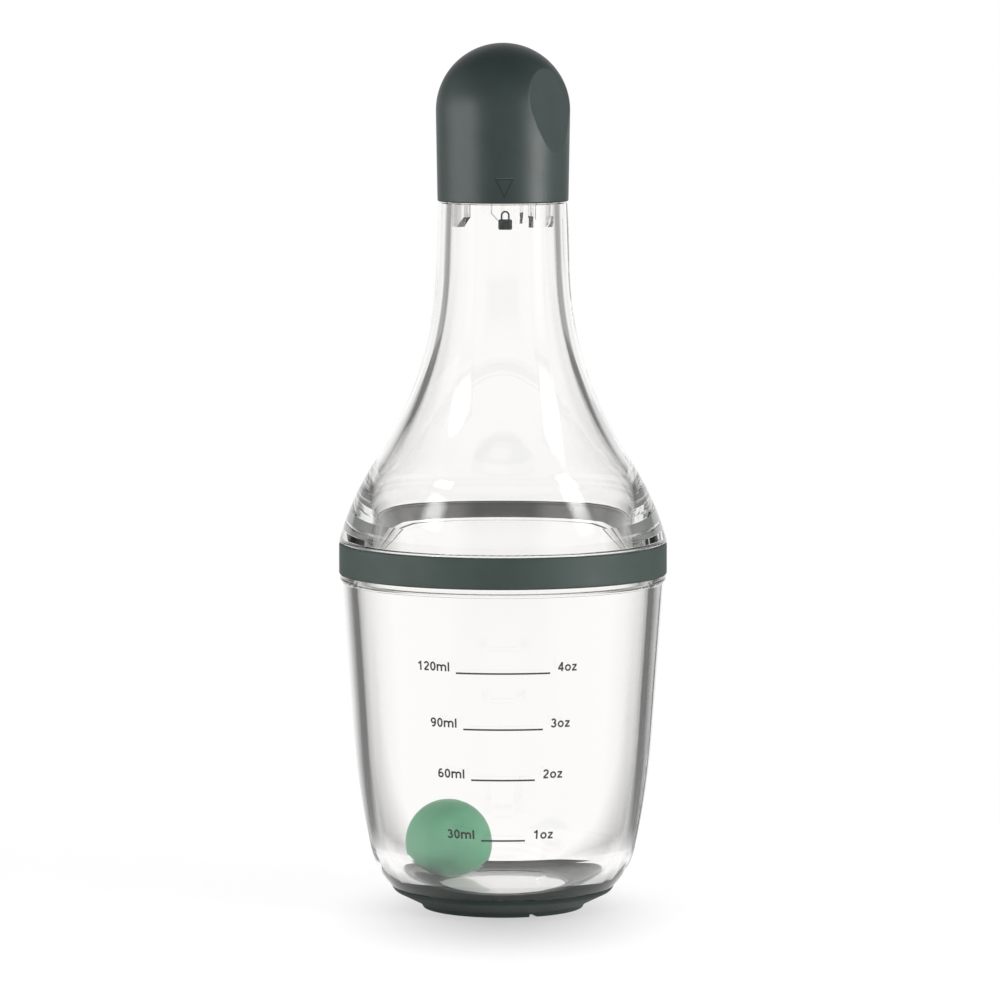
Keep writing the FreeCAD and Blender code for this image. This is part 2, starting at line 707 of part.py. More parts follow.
def make_cap():
    """Domed cap: bore over the finish, narrower bore over the spout, spigot and two leaning grip facets."""
    body = new_body("cap_shell")
    turned = turn_profile(body, "cap_turned", [
        Corner("cap_bore_radius", "cap_rim"),
        Corner("cap_rim_radius", "cap_rim"),
        Corner("cap_dome_radius", "cap_dome_height", arc="cap_dome_radius"),
        Corner("0", "cap_top"),
        Corner("0", "cap_spigot_bottom"),
        Corner("cap_spigot_radius", "cap_spigot_bottom"),
        Corner("cap_spigot_radius", "cap_ceiling_height"),
        Corner("cap_upper_bore_radius - cap_ceiling_round", "cap_ceiling_height", arc="cap_ceiling_round",
               turn=RIGHT_TURN),
        Corner("cap_upper_bore_radius", "cap_ceiling_height - cap_ceiling_round"),
        Corner("cap_upper_bore_radius", "cap_step + cap_bore_radius - cap_upper_bore_radius"),
        Corner("cap_bore_radius", "cap_step"),
    ])
    edges = ring_edges(turned, ("cap_rim_radius", "cap_rim"))
    round_edges(body, "rim_round", turned, edges, "cap_rim_round")

    # A facet's plane leans in by cap_facet_lean between its foot, on the side wall, and the top of the cap
    sketch = new_sketch(body, "facet_outline", "XZ_Plane", turned_upright(size("cap_facet_angle")))
    draw_outline(sketch, [
        Corner("cap_facet_foot_radius", "cap_facet_foot_height"),
        Corner("cap_dome_radius + cut_overrun", "cap_facet_foot_height"),
        Corner("cap_dome_radius + cut_overrun", "cap_top"),
        Corner("cap_dome_radius - cap_facet_lean", "cap_top"),
    ])
    facet = cut_through(body, "facet", sketch, "2 * cap_dome_radius + cut_overrun", midplane=True)
    facets = repeat_about_axis(body, "facets", [facet], FACET_COUNT)
    round_edges(body, "facet_edges", facets, leaning_face_edges(facets), "cap_facet_round")
    return body


def make_stopper():
    """Soft stopper on the cap's spigot, with a plug for the mouth of the spout."""
    body = new_body("cap_stopper")
    turned = turn_profile(body, "stopper_turned", [
        Corner("0", "stopper_plug_bottom"),
        Corner("stopper_plug_radius", "stopper_plug_bottom"),
        Corner("stopper_plug_radius", "stopper_disc_bottom"),
        Corner("stopper_radius", "stopper_disc_bottom"),
        Corner("stopper_radius", "stopper_top"),
        Corner("stopper_hole_radius", "stopper_top"),
        Corner("stopper_hole_radius", "stopper_hole_bottom"),
        Corner("0", "stopper_hole_bottom"),
    ])
    edges = ring_edges(turned, ("stopper_plug_radius", "stopper_plug_bottom"),
                       ("stopper_radius", "stopper_disc_bottom"))
    round_edges(body, "stopper_edges", turned, edges, "stopper_edge_round")
    return body


def check_document():
    """Stop if any object of the document failed."""
    for item in doc.Objects:
        if "Invalid" in item.State or "Error" in item.State:
            raise RuntimeError(f"{item.Label} failed: {item.State}")


def export(pieces):
    """Write each piece to its own file, named by its label."""
    os.makedirs("parts", exist_ok=True)
    for piece in pieces:
        shape = piece.Shape
        if shape.isNull() or not shape.isValid() or len(shape.Solids) != 1:
            raise RuntimeError(f"{piece.Label} is not one sound solid")
    for piece in pieces:
        box = piece.Shape.optimalBoundingBox()
        print(f"{piece.Label}: {piece.Shape.Volume:.1f} mm3, z {box.ZMin:.2f} to {box.ZMax:.2f}")
        piece.Shape.exportStep(f"parts/{piece.Label}.step")


PIECES = [
    make_foot(),
    make_cup(),
    make_ball(),
    make_band(),
    make_bell(),
    make_spout(),
    make_seal(),
    make_cap(),
    make_stopper(),
]
doc.recompute()
check_document()
export(PIECES)
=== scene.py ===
import math

import bpy
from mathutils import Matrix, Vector
from mathutils.bvhtree import BVHTree


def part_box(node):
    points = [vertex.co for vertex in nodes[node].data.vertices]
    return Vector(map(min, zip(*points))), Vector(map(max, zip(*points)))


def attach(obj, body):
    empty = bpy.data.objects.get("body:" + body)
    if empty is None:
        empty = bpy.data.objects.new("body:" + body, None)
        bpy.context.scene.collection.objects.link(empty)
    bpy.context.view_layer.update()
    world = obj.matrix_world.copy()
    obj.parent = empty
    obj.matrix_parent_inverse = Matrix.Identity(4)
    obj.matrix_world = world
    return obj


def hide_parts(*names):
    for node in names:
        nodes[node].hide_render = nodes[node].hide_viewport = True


# Salad dressing shaker bottle: looks, in metres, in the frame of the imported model.
# The bottle stands on z = 0 and its measured front faces -Y.

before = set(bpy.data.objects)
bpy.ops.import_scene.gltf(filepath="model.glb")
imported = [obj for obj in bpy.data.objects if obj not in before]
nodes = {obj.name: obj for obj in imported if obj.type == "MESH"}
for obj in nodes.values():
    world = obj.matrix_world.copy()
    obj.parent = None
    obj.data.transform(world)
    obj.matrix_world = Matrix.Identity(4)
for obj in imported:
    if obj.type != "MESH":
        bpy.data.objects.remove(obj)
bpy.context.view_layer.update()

MM = 0.001

# The photograph's view
IMAGE_WIDTH_PX = 1000
FOCAL_LENGTH_PX = 6212
SENSOR_WIDTH = 36.0
CAMERA_BACK = 1286.4 * MM
CAMERA_HEIGHT = 204.2 * MM
CAMERA_SIDE = -0.62 * MM
CAMERA_PITCH = math.radians(5.288)

# Printed measuring marks: volumes, height of the line, half length of the line
MARKS = [
    ("120ml", "4oz", 52.6 * MM, 9.75 * MM),
    ("90ml", "3oz", 41.0 * MM, 8.2 * MM),
    ("60ml", "2oz", 30.5 * MM, 6.55 * MM),
    ("30ml", "1oz", 17.8 * MM, 4.5 * MM),
]
LINE_WIDTH = 0.36 * MM
TEXT_HEIGHT = 1.9 * MM
TEXT_STROKE = 0.19 * TEXT_HEIGHT
LEFT_TEXT_GAP = 1.2 * MM
RIGHT_TEXT_GAP = 1.55 * MM
TEXT_RISE = 0.3 * MM

# Thin layers of ink, and the steps of their outlines
INK_GAP = 0.01 * MM
INK_THICKNESS = 0.025 * MM
INK_STEP = 0.3 * MM
BOW_STEPS = 14
RING_STEPS = 27
CORNER_STEPS = 4
LEAST_MITRE = 0.4

# Printed padlock on the neck
LOCK_SIDE = 0.45 * MM
LOCK_BOTTOM = 142.0 * MM
LOCK_WIDTH = 2.85 * MM
LOCK_HEIGHT = 2.15 * MM
LOCK_ROUND = 0.35 * MM
SHACKLE_WIDTH = 1.85 * MM
SHACKLE_HEIGHT = 1.75 * MM
SHACKLE_STROKE = 0.36 * MM

# Pointer triangle on the cap: painted shade of its groove, with a painted highlight above
POINTER_SIDE = 0.25 * MM
POINTER_TOP = 152.3 * MM
POINTER_WIDTH = 3.5 * MM
POINTER_HEIGHT = 3.6 * MM
POINTER_STROKE = 0.3 * MM
POINTER_HIGHLIGHT = 0.14 * MM

# Soft foot pressed on the cup
FOOT_CLING = 0.13 * MM
FOOT_FACES_UP = 0.3

# Clear plastic: tint, refraction, and size, height and strength of its faint waves
CLEAR_TINT = 1, 0.995, 0.987
CLEAR_INDEX = 1.52
CLEAR_WAVES = 14 * MM, 0.04 * MM, 0.25
WAVE_DETAIL = 1.0

# The two shades of each finish
SHADES = {
    "printing_ink": ((0.042, 0.05, 0.05), (0.052, 0.06, 0.06)),
    # Painted shade and painted highlight of the pointer's groove
    "groove_shade": ((0.012, 0.016, 0.015), (0.018, 0.024, 0.022)),
    "groove_painted_highlight": ((0.07, 0.085, 0.08), (0.09, 0.105, 0.1)),
    "band_silicone": ((0.037, 0.057, 0.051), (0.043, 0.065, 0.058)),
    # Painted shade: the foot is the band's silicone, darker against the light that the floor
    # throws on it
    "foot_silicone_painted_shade": ((0.014, 0.024, 0.021), (0.018, 0.029, 0.025)),
    "seal_silicone": ((0.5, 0.53, 0.51), (0.58, 0.6, 0.58)),
    "cap_plastic": ((0.024, 0.039, 0.036), (0.028, 0.045, 0.041)),
    "ball_plastic": ((0.16, 0.49, 0.28), (0.18, 0.53, 0.305)),
}

# Surfaces: size of the patches of shade, size of the patches of roughness, range of the roughness,
# and size, height and strength of the grain
INK_SURFACE = 0.7 * MM, 0.3 * MM, (0.5, 0.65)
SILICONE_SURFACE = 6 * MM, 0.5 * MM, (0.5, 0.62), (0.16 * MM, 0.02 * MM, 0.35)
CAP_SURFACE = 5 * MM, 0.4 * MM, (0.4, 0.5), (0.14 * MM, 0.02 * MM, 0.4)
BALL_SURFACE = 4 * MM, 0.6 * MM, (0.36, 0.46), (0.25 * MM, 0.02 * MM, 0.3)
NOISE_DETAIL = 3.0
NOISE_RANGE = 0.3, 0.7
SHADE_RANGE = 0.35, 0.65
SILICONE_GLOSS = 0.4
FOOT_GLOSS = 0.2
BALL_DEPTH = 3 * MM
BALL_DEPTH_WEIGHT = 0.35
BALL_DEPTH_COLOUR = 0.6, 1.0, 0.7

# Inside of the band, seen through the bell: its radius, its left and right, and the painted light
# it glows with
BAND_INSIDE = 33.6 * MM, 33.7 * MM
BAND_SIDES = 26 * MM, 31 * MM
BAND_PAINTED_GLOW = 0.215, 0.22, 0.21

# Backdrop: white behind the bottle, dark past the given turns, and paler again at the sides.
# The white part is wider near the horizon. A rise is the sine of the angle above it.
WHITE = 1.0
AMBIENT = 1.0
BACKDROP_DARK = 0.15
BACKDROP_ENDS = math.radians(15), math.radians(36)
WIDE_DARK = 0.33
WIDE_ENDS = math.radians(31), math.radians(41)
WIDE_RISE = 0.105, 0.14
SIDE_LIGHT = 0.6
SIDE_STARTS = math.radians(44), math.radians(60)
SIDE_ENDS = math.radians(100), math.radians(130)
FRONT_SHARE = 0.6
OVERHEAD_LIGHT = 0.15
OVERHEAD_STARTS = math.sin(math.radians(25)), math.sin(math.radians(60))

# Rays that leave the clear walls find white from these turns on
CLEAR_STARTS = math.radians(55), math.radians(75)

# Part of the front floor that stays dark for them: the bell mirrors it over the band's back
MIRRORED_TURN = math.radians(137), math.radians(165)
MIRRORED_NEAR = 0.18, 0.38
MIRRORED_FAR = 0.5, 0.8

# Floor: its size, its paper, and how the camera sees it
FLOOR_RADIUS = 4.0
FLOOR_SEGMENTS = 96
FLOOR_PAPER = 0.6
FLOOR_SEEN = 0.35
FLOOR_GLOW = 0.79
SHADOW_ENDS = 110 * MM, 230 * MM

# Floor in mirrors and through the clear walls: white near the bottle, like the backdrop further
# off, darker under the foot as painted shade, and darkest there on the ball's side as the ball's
# painted shadow
NEAR_FLOOR = 45 * MM, 100 * MM
FAR_FLOOR = 0.8, 1.6
UNDER_FOOT = 12 * MM, 30 * MM
UNDER_FOOT_LIGHT = 0.74
BALL_SIDE = -14 * MM, -1 * MM
BALL_SHADOW_LIGHT = 0.5

# Soft contact shadow painted on the floor
CONTACT_FRONT = 15 * MM
CONTACT_REACH = 40 * MM
CONTACT_SQUEEZE = 0.6
CONTACT_LIGHT = 0.62

# Softboxes: turn from the camera's side, distance, height of the middle, width, height, light
SOFTBOXES = {
    "left_softbox": (math.radians(-84), 0.9, 0.14, 1.0, 0.6, 5.0),
    "left_strip": (math.radians(-57), 0.9, 0.16, 0.34, 0.7, 11.0),
    "right_softbox": (math.radians(62), 0.9, 0.16, 0.46, 0.7, 19.0),
    "left_high": (math.radians(-61), 0.9, 0.76, 0.42, 0.4, 12.0),
    "right_high": (math.radians(68), 0.9, 0.82, 0.36, 0.7, 13.0),
}

# Softboxes that light the bell alone, the even part of each softbox,
# and the share of the others in sharp mirror images
BELL_ONLY = "left_high", "right_high"
SOFTBOX_EVEN = 0.2
MIRROR_SHARE = 0.06

# Bounces of light inside the clear walls
WALL_BOUNCES = 24


def link(obj):
    bpy.context.scene.collection.objects.link(obj)
    return obj


def mesh_object(name, vertices, faces):
    mesh = bpy.data.meshes.new(name)
    mesh.from_pydata([tuple(v) for v in vertices], [], faces)
    mesh.validate()
    return link(bpy.data.objects.new(name, mesh))


def dress(obj, material):
    obj.data.materials.clear()
    obj.data.materials.append(material)


def place(piece, body, material):
    dress(piece, material)
    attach(piece, body)


# Shader nodes

def math_node(tree, operation, first, second=None):
    node = tree.nodes.new("ShaderNodeMath")
    node.operation = operation
    for socket, value in zip(node.inputs, (first, second)):
        if isinstance(value, (int, float)):
            socket.default_value = value
        elif value is not None:
            tree.links.new(value, socket)
    return node.outputs["Value"]


def ramp_value(tree, value, low, high, start, end, smooth=False):
    """Start below the low value, end above the high one, an even or smooth change between."""
    spread = tree.nodes.new("ShaderNodeMapRange")
    spread.interpolation_type = "SMOOTHSTEP" if smooth else "LINEAR"
    numbers = {"From Min": low, "From Max": high, "To Min": start, "To Max": end}
    for name, number in numbers.items():
        spread.inputs[name].default_value = number
    tree.links.new(value, spread.inputs["Value"])
    return spread.outputs["Result"]


def coordinates(tree, kind):
    return tree.nodes.new("ShaderNodeTexCoord").outputs[kind]


def split(tree, vector):
    parts = tree.nodes.new("ShaderNodeSeparateXYZ")
    tree.links.new(vector, parts.inputs["Vector"])
    return parts.outputs


def lamp_shader(tree, kind, strength):
    lamp = tree.nodes.new(kind)
    lamp.inputs["Color"].default_value = (1, 1, 1, 1)
    if isinstance(strength, (int, float)):
        lamp.inputs["Strength"].default_value = strength
    else:
        tree.links.new(strength, lamp.inputs["Strength"])
    return lamp.outputs[0]


def mix_shaders(tree, factor, first, second):
    mix = tree.nodes.new("ShaderNodeMixShader")
    tree.links.new(factor, mix.inputs["Fac"])
    tree.links.new(first, mix.inputs[1])
    tree.links.new(second, mix.inputs[2])
    return mix.outputs["Shader"]


# Materials

def new_material(name):
    material = bpy.data.materials.new(name)
    material.use_nodes = True
    tree = material.node_tree
    return material, tree, tree.nodes["Principled BSDF"]


def noise(tree, size, detail=NOISE_DETAIL):
    """Noise in the bottle's own space, with features of the given size."""
    texture = tree.nodes.new("ShaderNodeTexNoise")
    texture.inputs["Scale"].default_value = 1 / size
    texture.inputs["Detail"].default_value = detail
    tree.links.new(coordinates(tree, "Object"), texture.inputs["Vector"])
    return texture.outputs["Fac"]


def vary_colour(tree, factor, shades, socket):
    ramp = tree.nodes.new("ShaderNodeValToRGB")
    for element, position, shade in zip(ramp.color_ramp.elements, SHADE_RANGE, shades):
        element.position = position
        element.color = (*shade, 1)
    tree.links.new(factor, ramp.inputs["Fac"])
    tree.links.new(ramp.outputs["Color"], socket)


def roughen(tree, shader, size, height, strength, detail=NOISE_DETAIL):
    bump = tree.nodes.new("ShaderNodeBump")
    bump.inputs["Strength"].default_value = strength
    bump.inputs["Distance"].default_value = height
    tree.links.new(noise(tree, size, detail), bump.inputs["Height"])
    tree.links.new(bump.outputs["Normal"], shader.inputs["Normal"])


def finish(name, patches, rough_patches, roughness, grain=None):
    """Two shades in soft patches, uneven roughness and a fine grain, if one is given."""
    material, tree, shader = new_material(name)
    vary_colour(tree, noise(tree, patches), SHADES[name], shader.inputs["Base Color"])
    uneven = ramp_value(tree, noise(tree, rough_patches), *NOISE_RANGE, *roughness)
    tree.links.new(uneven, shader.inputs["Roughness"])
    if grain:
        roughen(tree, shader, *grain)
    return material, shader


def clear_plastic():
    """Polished clear copolyester with faint flow waves from moulding."""
    material, tree, shader = new_material("clear_plastic")
    shader.inputs["Base Color"].default_value = (*CLEAR_TINT, 1)
    shader.inputs["Transmission Weight"].default_value = 1.0
    shader.inputs["IOR"].default_value = CLEAR_INDEX
    shader.inputs["Roughness"].default_value = 0.0
    roughen(tree, shader, *CLEAR_WAVES, WAVE_DETAIL)
    return material


def silicone(name, gloss=SILICONE_GLOSS):
    """Matt silicone with a fine bloom."""
    material, shader = finish(name, *SILICONE_SURFACE)
    shader.inputs["Specular IOR Level"].default_value = gloss
    return material


def band_silicone():
    """Silicone whose hidden inside glows with painted light, left and right.

    It stands in for the light that threads scatter in the real bottle."""
    material = silicone("band_silicone")
    tree = material.node_tree
    shader = tree.nodes["Principled BSDF"]
    parts = split(tree, coordinates(tree, "Object"))
    squares = [math_node(tree, "MULTIPLY", parts[axis], parts[axis]) for axis in ("X", "Y")]
    radius = math_node(tree, "SQRT", math_node(tree, "ADD", *squares))
    inside = ramp_value(tree, radius, *BAND_INSIDE, 1, 0)
    sides = ramp_value(tree, math_node(tree, "ABSOLUTE", parts["X"]), *BAND_SIDES, 0, 1, True)
    # Painted light: the inside of the band glows, most to the left and right
    light = tree.nodes.new("ShaderNodeMix")
    light.data_type = "RGBA"
    tree.links.new(math_node(tree, "MULTIPLY", inside, sides), light.inputs["Factor"])
    light.inputs["A"].default_value = (0, 0, 0, 1)
    light.inputs["B"].default_value = (*BAND_PAINTED_GLOW, 1)
    shader.inputs["Emission Color"].default_value = (0, 0, 0, 1)
    shader.inputs["Emission Strength"].default_value = 1.0
    tree.links.new(light.outputs["Result"], shader.inputs["Emission Color"])
    return material


def cap_plastic():
    """Moulded plastic with a fine spark-eroded texture."""
    return finish("cap_plastic", *CAP_SURFACE)[0]


def ball_plastic():
    """Green polyethylene that lets a little light in."""
    material, shader = finish("ball_plastic", *BALL_SURFACE)
    shader.inputs["Subsurface Weight"].default_value = BALL_DEPTH_WEIGHT
    shader.inputs["Subsurface Radius"].default_value = BALL_DEPTH_COLOUR
    shader.inputs["Subsurface Scale"].default_value = BALL_DEPTH
    return material


def printing_ink(name):
    """Matt pad-printed ink, and the same matt finish for the painted shade and painted highlight
    of the pointer's groove.
    """
    return finish(name, *INK_SURFACE)[0]


# Shapes laid on the outside of a piece

class Skin:
    """The outside of a node.

    A flat shape's x runs round it from the front, and its y is the height."""

    def __init__(self, node):
        mesh = nodes[node].data
        mesh.calc_loop_triangles()
        corners = [tuple(t.vertices) for t in mesh.loop_triangles]
        self.tree = BVHTree.FromPolygons([v.co for v in mesh.vertices], corners)
        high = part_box(node)[1]
        self.outside = 2 * high.x

    def radius(self, height):
        start = Vector((0, -self.outside, height))
        return -self.tree.ray_cast(start, Vector((0, 1, 0)))[0].y

    def point(self, turn, height, lift):
        out = Vector((math.sin(turn), -math.cos(turn), 0))
        start = out * self.outside + Vector((0, 0, height))
        return self.tree.ray_cast(start, -out)[0] + out * lift


def raised(name, skin, height, vertices, faces):
    """A flat shape laid on a skin at a height, as a thin layer with its own edges."""
    radius = skin.radius(height)
    count = len(vertices)
    points = []
    for lift in (INK_GAP, INK_GAP + INK_THICKNESS):
        points += [skin.point(x / radius, height + y, lift) for x, y in vertices]
    edges = {}
    for face in faces:
        for start, end in zip(face, face[1:] + face[:1]):
            edges[(start, end)] = True
    sides = [(s, e, e + count, s + count) for s, e in edges if (e, s) not in edges]
    bottom = [tuple(reversed(face)) for face in faces]
    top = [tuple(i + count for i in face) for face in faces]
    return mesh_object(name, points, bottom + top + sides)


def bow(x, y, across, up, start, end, steps=BOW_STEPS):
    """Points on part of an ellipse, with its angles in degrees."""
    turns = [math.radians(start + (end - start) * i / steps) for i in range(steps + 1)]
    return [(x + across * math.cos(t), y + up * math.sin(t)) for t in turns]


def ribbon(path, stroke, closed=False):
    """A line of even width along a path, as flat vertices and faces."""
    points = [Vector(p) for p in path]
    ends = points[1:] + points[:1] if closed else points[1:]
    fine = []
    for start, end in zip(points, ends):
        parts = max(1, round((end - start).length / INK_STEP))
        fine += [start.lerp(end, i / parts) for i in range(parts)]
    if not closed:
        fine.append(points[-1])
    count = len(fine)
    vertices = []
    for i, point in enumerate(fine):
        before = fine[i - 1] if closed or i else point
        after = fine[(i + 1) % count] if closed or i + 1 < count else point
        into = (point - before).normalized() if point != before else (after - point).normalized()
        out = (after - point).normalized() if after != point else into
        side = Vector((-into.y - out.y, into.x + out.x)).normalized()
        reach = stroke / 2 / max(LEAST_MITRE, side.dot(Vector((-out.y, out.x))))
        vertices += [tuple(point - side * reach), tuple(point + side * reach)]
    spans = count if closed else count - 1
    faces = []
    for i in range(spans):
        a, b = 2 * i, 2 * ((i + 1) % count)
        faces.append([a, b, b + 1, a + 1])
    return vertices, faces


def moved(shape, x, y):
    vertices, faces = shape
    return [(vx + x, vy + y) for vx, vy in vertices], faces


def joined(shapes):
    vertices, faces = [], []
    for more_vertices, more_faces in shapes:
        offset = len(vertices)
        vertices += more_vertices
        faces += [[i + offset for i in face] for face in more_faces]
    return vertices, faces


# Plain bold characters one unit tall: width, open strokes, closed strokes.
# A ring stops short of a full turn, because its last side closes it.
DIGIT = 0.772
RING = 0, 347
SIX_RING = bow(0.39, 0.32, 0.235, 0.235, *RING)
SIX_BACK = bow(0.42, 0.42, 0.265, 0.495, 175, 62)
NINE_RING = [(DIGIT - x, 1 - y) for x, y in SIX_RING]
NINE_BACK = [(DIGIT - x, 1 - y) for x, y in SIX_BACK]
CHARACTERS = {
    "0": (DIGIT, [], [bow(0.386, 0.5, 0.235, 0.415, *RING, RING_STEPS)]),
    "1": (DIGIT, [[(0.45, 0), (0.45, 1)],
                  [(0.14, 0.745), (0.3, 0.77), (0.43, 0.93)]], []),
    "2": (DIGIT, [bow(0.385, 0.69, 0.225, 0.225, 170, -35) + [(0.15, 0.13)],
                  [(0.115, 0.085), (0.655, 0.085)]], []),
    "3": (DIGIT, [bow(0.37, 0.715, 0.2, 0.2, 160, -90),
                  bow(0.375, 0.3, 0.235, 0.215, 90, -165)], []),
    "4": (DIGIT, [[(0.52, 0), (0.52, 1)],
                  [(0.49, 0.93), (0.13, 0.33)],
                  [(0.06, 0.285), (0.7, 0.285)]], []),
    "6": (DIGIT, [SIX_BACK], [SIX_RING]),
    "9": (DIGIT, [NINE_BACK], [NINE_RING]),
    "m": (1.235, [[(0.15, 0), (0.15, 0.74)],
                  bow(0.385, 0.47, 0.235, 0.185, 180, 0) + [(0.62, 0)],
                  bow(0.855, 0.47, 0.235, 0.185, 180, 0) + [(1.09, 0)]], []),
    "l": (0.386, [[(0.193, 0), (0.193, 1)]], []),
    "o": (0.85, [], [bow(0.425, 0.37, 0.265, 0.285, *RING, RING_STEPS)]),
    "z": (0.69, [[(0.08, 0.655), (0.61, 0.655)],
                 [(0.53, 0.59), (0.16, 0.15)],
                 [(0.06, 0.085), (0.63, 0.085)]], []),
}


def lettering(text, from_right):
    """A word as flat vertices and faces, with its left or right end at x = 0."""
    width = sum(CHARACTERS[c][0] for c in text) * TEXT_HEIGHT
    x = -width if from_right else 0
    shapes = []
    for character in text:
        advance, strokes, rings = CHARACTERS[character]
        for closed, paths in ((False, strokes), (True, rings)):
            for path in paths:
                scaled = [(px * TEXT_HEIGHT, py * TEXT_HEIGHT) for px, py in path]
                shapes.append(moved(ribbon(scaled, TEXT_STROKE, closed), x, 0))
        x += advance * TEXT_HEIGHT
    return joined(shapes)


def join_pieces(name, pieces):
    """One object of several meshes that lie in place."""
    vertices, faces = [], []
    for piece in pieces:
        offset = len(vertices)
        vertices += [v.co.copy() for v in piece.data.vertices]
        faces += [[i + offset for i in p.vertices] for p in piece.data.polygons]
        mesh = piece.data
        bpy.data.objects.remove(piece)
        bpy.data.meshes.remove(mesh)
    return mesh_object(name, vertices, faces)


def measuring_marks(ink):
    """Volume lines with millilitres on the left and ounces on the right."""
    skin = Skin("lower_cup")
    groups = {"volume_lines": [], "millilitre_labels": [], "ounce_labels": []}
    for millilitres, ounces, height, half in MARKS:
        line = ribbon([(-half, 0), (half, 0)], LINE_WIDTH)
        groups["volume_lines"].append(raised("line", skin, height, *line))
        left = moved(lettering(millilitres, True), -half - LEFT_TEXT_GAP, TEXT_RISE)
        groups["millilitre_labels"].append(raised("left", skin, height, *left))
        right = moved(lettering(ounces, False), half + RIGHT_TEXT_GAP, TEXT_RISE)
        groups["ounce_labels"].append(raised("right", skin, height, *right))
    for name, pieces in groups.items():
        place(join_pieces(name, pieces), "cup", ink)


def rounded_box(width, height, corner):
    """A flat box with round corners that stands on y = 0."""
    points = []
    for side, middle, start in ((1, corner, -90), (1, height - corner, 0),
                                (-1, height - corner, 90), (-1, corner, 180)):
        across = side * (width / 2 - corner)
        points += bow(across, middle, corner, corner, start, start + 90, CORNER_STEPS)
    return points, [list(range(len(points)))]


def padlock(ink):
    """Printed closed padlock that the pointer on the cap turns to."""
    body = rounded_box(LOCK_WIDTH, LOCK_HEIGHT, LOCK_ROUND)
    reach = (SHACKLE_WIDTH - SHACKLE_STROKE) / 2
    rise = LOCK_HEIGHT + SHACKLE_HEIGHT - SHACKLE_WIDTH / 2
    bend = bow(0, rise, reach, reach, 0, 180)
    bar = ribbon([(reach, LOCK_HEIGHT)] + bend + [(-reach, LOCK_HEIGHT)], SHACKLE_STROKE)
    shape = moved(joined([body, bar]), LOCK_SIDE, 0)
    mark = raised("padlock_mark", Skin("upper_bell"), LOCK_BOTTOM, *shape)
    place(mark, "bell", ink)


def pointer(shade, edge):
    """Outline of an engraved triangle that points down to the padlock, as painted shade of its
    groove, with a painted highlight on its upper edge.
    """
    half = POINTER_WIDTH / 2
    corners = [(-half, 0), (half, 0), (0, -POINTER_HEIGHT)]
    # Painted shade: a dark line where the groove lies
    groove = moved(ribbon(corners, POINTER_STROKE, True), POINTER_SIDE, 0)
    skin = Skin("cap_shell")
    place(raised("pointer_groove_shade", skin, POINTER_TOP, *groove), "cap", shade)
    # Painted highlight: a pale line along the groove's upper edge
    rim = (POINTER_STROKE + POINTER_HIGHLIGHT) / 2
    lit = moved(ribbon([(-half, rim), (half, rim)], POINTER_HIGHLIGHT), POINTER_SIDE, 0)
    place(raised("pointer_painted_highlight", skin, POINTER_TOP, *lit), "cap", edge)


def clinging_foot(material):
    """The soft foot pressed on the cup, so that no air shows between them."""
    mesh = nodes["base_foot"].data.copy()
    foot = link(bpy.data.objects.new("clinging_foot", mesh))
    for vertex in mesh.vertices:
        if vertex.normal.z > FOOT_FACES_UP:
            vertex.co.z += FOOT_CLING
    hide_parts("base_foot")
    place(foot, "cup", material)


def dress_nodes(clear):
    band = band_silicone()
    # The foot's silicone is darker as painted shade
    foot = silicone("foot_silicone_painted_shade", FOOT_GLOSS)
    seal = silicone("seal_silicone")
    cap = cap_plastic()
    ball = ball_plastic()
    finishes = {
        "lower_cup": clear,
        "upper_bell": clear,
        "pour_spout": clear,
        "collar_band": band,
        "spout_seal": seal,
        "cap_stopper": seal,
        "cap_shell": cap,
        "mixing_ball": ball,
    }
    for node, material in finishes.items():
        dress(nodes[node], material)
    clinging_foot(foot)


# Studio

def turn_from_back(tree, vector):
    """Angle round the bottle from straight behind it, the same to the left and to the right."""
    parts = split(tree, vector)
    return math_node(tree, "ABSOLUTE", math_node(tree, "ARCTAN2", parts["X"], parts["Y"]))


def open_sides(tree, turn):
    """White to both sides and in front, for rays that leave the clear walls."""
    return ramp_value(tree, turn, *CLEAR_STARTS, 0, 1)


def backdrop_light(tree, turn, ends, dark):
    """Light round the bottle: white behind it, dark past the given turns, paler at the sides."""
    behind = ramp_value(tree, turn, *ends, 1, dark)
    side = ramp_value(tree, turn, *SIDE_STARTS, 0, SIDE_LIGHT)
    front = ramp_value(tree, turn, *SIDE_ENDS, 1, FRONT_SHARE)
    return math_node(tree, "MAXIMUM", behind, math_node(tree, "MULTIPLY", side, front))


def scattered_share(tree, path):
    """1 for rays that a matt surface has scattered, and 0 for the rest."""
    return math_node(tree, "MINIMUM", path["Diffuse Depth"], 1)


